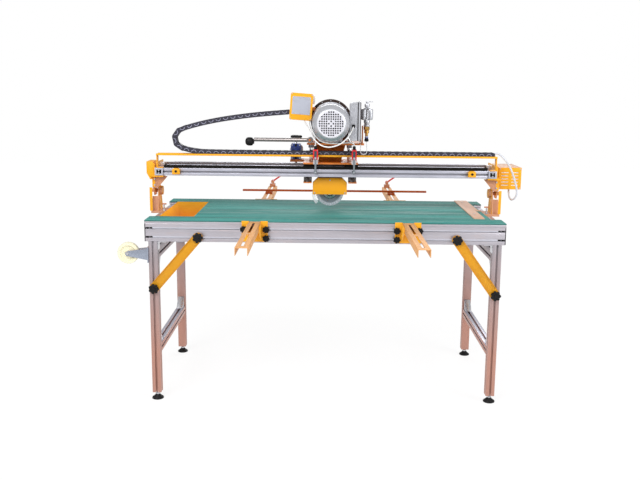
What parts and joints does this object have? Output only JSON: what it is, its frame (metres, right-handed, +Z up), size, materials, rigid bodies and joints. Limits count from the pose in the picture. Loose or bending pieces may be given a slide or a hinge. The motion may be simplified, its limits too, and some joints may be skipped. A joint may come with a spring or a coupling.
{
  "type": "bridge tile cutter",
  "caption": "Bridge tile saw on a folding aluminium table: belt-driven saw head on twin rails, tilting bridge, rubber-topped table, water well and extension arms.",
  "frame": {"origin": "on the floor under the centre of the table", "axes": "+X to the right along the table, +Y from the front to the rear, +Z up"},
  "size_m": [2.0935, 2.14, 1.5699],
  "materials": {
    "aluminium": "anodised, satin",
    "rubber_pad": "ribbed",
    "yellow_paint": "powder coat",
    "beige_paint": "powder coat",
    "orange_paint": "powder coat",
    "zinc": "zinc plated",
    "black_plastic": "moulded",
    "black_rubber": "matte",
    "nylon": "moulded",
    "chrome": "polished",
    "steel": "ground",
    "grey_metal": "painted",
    "blue_paint": "painted",
    "red_plastic": "moulded",
    "brown_metal": "painted",
    "clear_plastic": "clear",
    "white_pvc": "smooth",
    "chain_plastic": "moulded"
  },
  "bodies": {
    "table": {"long_beams": "aluminium", "cross_beams": "aluminium", "table_planks": "aluminium", "rubber_pads": "rubber_pad", "water_well": "orange_paint", "channel_arms": "beige_paint", "arm_brackets": "yellow_paint", "bracket_knobs": "black_plastic", "side_fence": "beige_paint", "pivot_posts": "yellow_paint", "table_fittings": "zinc"},
    "rear_fence": {"rear_fence": "orange_paint"},
    "left_clamp_lever": {"left_clamp_lever": "red_plastic"},
    "right_clamp_lever": {"right_clamp_lever": "red_plastic"},
    "left_legs": {"left_leg_frame": "aluminium", "left_leg_fittings": "zinc", "caster_forks": "zinc"},
    "right_legs": {"right_leg_frame": "aluminium", "right_leg_fittings": "zinc"},
    "left_brace": {"left_brace": "yellow_paint"},
    "right_brace": {"right_brace": "yellow_paint"},
    "front_caster_wheel": {"front_caster_wheel": "nylon"},
    "rear_caster_wheel": {"rear_caster_wheel": "nylon"},
    "bridge": {"rail_beams": "aluminium", "bridge_ends": "yellow_paint", "travel_stops": "yellow_paint", "drive_belt": "black_rubber", "cable_tray": "yellow_paint", "end_covers": "yellow_paint", "supply_hose": "white_pvc"},
    "carriage": {"carriage_plate": "orange_paint", "carriage_guides": "brown_metal", "roller_hangers": "zinc", "feed_gearbox": "blue_paint", "limit_switches": "red_plastic", "drag_chain": "chain_plastic"},
    "feed_shaft": {"feed_shaft": "steel"},
    "left_switch_lever": {"left_switch_lever": "zinc"},
    "right_switch_lever": {"right_switch_lever": "zinc"},
    "head": {"head_plate": "orange_paint", "belt_case": "brown_metal", "motor_body": "grey_metal", "fan_cover": "grey_metal", "blade_guard": "yellow_paint", "splash_flap": "clear_plastic", "control_box": "yellow_paint", "water_tap": "chrome", "motor_cable": "white_pvc", "left_switch_cable": "white_pvc", "right_switch_cable": "white_pvc", "water_tube": "clear_plastic"},
    "motor_rotor": {"motor_rotor": "steel"},
    "saw_spindle": {"spindle_set": "steel", "blade": "steel"},
    "tap_lever": {"tap_lever": "chrome"},
    "lift_lever": {"lift_lever": "chrome"},
    "left_front_foot": {"left_front_foot": "black_rubber"},
    "left_rear_foot": {"left_rear_foot": "black_rubber"},
    "right_front_foot": {"right_front_foot": "black_rubber"},
    "right_rear_foot": {"right_rear_foot": "black_rubber"}
  },
  "joints": [
    {"name": "left_leg_fold", "type": "hinge", "parent": "table", "child": "left_legs", "pos_m": [-0.8315, 0, 0.827], "axis": [0, -1, 0], "range_deg": [0, 90]},
    {"name": "right_leg_fold", "type": "hinge", "parent": "table", "child": "right_legs", "pos_m": [0.8315, 0, 0.827], "axis": [0, 1, 0], "range_deg": [0, 90]},
    {"name": "left_brace_swing", "type": "hinge", "parent": "left_legs", "child": "left_brace", "pos_m": [-0.86, -0.406, 0.592], "axis": [0, 1, 0], "range_deg": [0, 139.5]},
    {"name": "right_brace_swing", "type": "hinge", "parent": "right_legs", "child": "right_brace", "pos_m": [0.86, -0.406, 0.574], "axis": [0, -1, 0], "range_deg": [0, 144.3]},
    {"name": "left_front_foot_screw", "type": "slide", "parent": "left_legs", "child": "left_front_foot", "axis": [0, 0, 1], "range_m": [-0.02, 0]},
    {"name": "left_rear_foot_screw", "type": "slide", "parent": "left_legs", "child": "left_rear_foot", "axis": [0, 0, 1], "range_m": [-0.02, 0]},
    {"name": "right_front_foot_screw", "type": "slide", "parent": "right_legs", "child": "right_front_foot", "axis": [0, 0, 1], "range_m": [-0.02, 0]},
    {"name": "right_rear_foot_screw", "type": "slide", "parent": "right_legs", "child": "right_rear_foot", "axis": [0, 0, 1], "range_m": [-0.02, 0]},
    {"name": "front_caster_spin", "type": "hinge", "parent": "left_legs", "child": "front_caster_wheel", "pos_m": [-0.9875, -0.3775, 0.77], "axis": [0, 1, 0], "continuous": true},
    {"name": "rear_caster_spin", "type": "hinge", "parent": "left_legs", "child": "rear_caster_wheel", "pos_m": [-0.9875, 0.3775, 0.77], "axis": [0, 1, 0], "continuous": true},
    {"name": "rear_fence_slide", "type": "slide", "parent": "table", "child": "rear_fence", "axis": [0, 1, 0], "range_m": [-0.22, 0.28]},
    {"name": "left_clamp_swing", "type": "hinge", "parent": "table", "child": "left_clamp_lever", "pos_m": [-0.35, 1.025, 0.976], "axis": [0, 1, 0], "range_deg": [-60, 30]},
    {"name": "right_clamp_swing", "type": "hinge", "parent": "table", "child": "right_clamp_lever", "pos_m": [0.412, 1.025, 0.976], "axis": [0, 1, 0], "range_deg": [-60, 30]},
    {"name": "bridge_tilt", "type": "hinge", "parent": "table", "child": "bridge", "pos_m": [0, 0, 1.04], "axis": [-1, 0, 0], "range_deg": [0, 45]},
    {"name": "carriage_travel", "type": "slide", "parent": "bridge", "child": "carriage", "axis": [1, 0, 0], "range_m": [-0.705, 0.59], "deforming": ["drag_chain"]},
    {"name": "feed_turn", "type": "hinge", "parent": "carriage", "child": "feed_shaft", "pos_m": [-0.1605, 0.0124, 1.2], "axis": [0, 0, 1], "continuous": true},
    {"name": "left_switch_press", "type": "hinge", "parent": "carriage", "child": "left_switch_lever", "pos_m": [-0.054, -0.134, 1.233], "axis": [0, 1, 0], "range_deg": [-20, 20], "stiffness_Nm_per_rad": 0.5},
    {"name": "right_switch_press", "type": "hinge", "parent": "carriage", "child": "right_switch_lever", "pos_m": [0.148, -0.134, 1.233], "axis": [0, 1, 0], "range_deg": [-20, 20], "stiffness_Nm_per_rad": 0.5},
    {"name": "head_lift", "type": "slide", "parent": "carriage", "child": "head", "axis": [0, 0, 1], "range_m": [-0.028, 0.008], "deforming": ["left_switch_cable", "right_switch_cable"]},
    {"name": "lift_lever_swing", "type": "hinge", "parent": "head", "child": "lift_lever", "pos_m": [-0.084, -0.135, 1.327], "axis": [0, 1, 0], "range_deg": [-9, 31]},
    {"name": "motor_spin", "type": "hinge", "parent": "head", "child": "motor_rotor", "pos_m": [0.024, 0, 1.42], "axis": [0, 1, 0], "continuous": true},
    {"name": "blade_spin", "type": "hinge", "parent": "head", "child": "saw_spindle", "pos_m": [0.024, 0, 1.04], "axis": [0, 1, 0], "continuous": true},
    {"name": "tap_turn", "type": "hinge", "parent": "head", "child": "tap_lever", "pos_m": [0.212, -0.096, 1.52], "axis": [0, 0, 1], "range_deg": [0, 90]}
  ],
  "couplings": [
    {"joint": "left_brace_swing", "follows": "left_leg_fold", "ratio": 1.549},
    {"joint": "right_brace_swing", "follows": "right_leg_fold", "ratio": 1.602},
    {"joint": "feed_turn", "follows": "carriage_travel", "rad_per_m": -69.444},
    {"joint": "lift_lever_swing", "follows": "head_lift", "rad_per_m": -18.7},
    {"joint": "blade_spin", "follows": "motor_spin", "ratio": 1.2353}
  ]
}
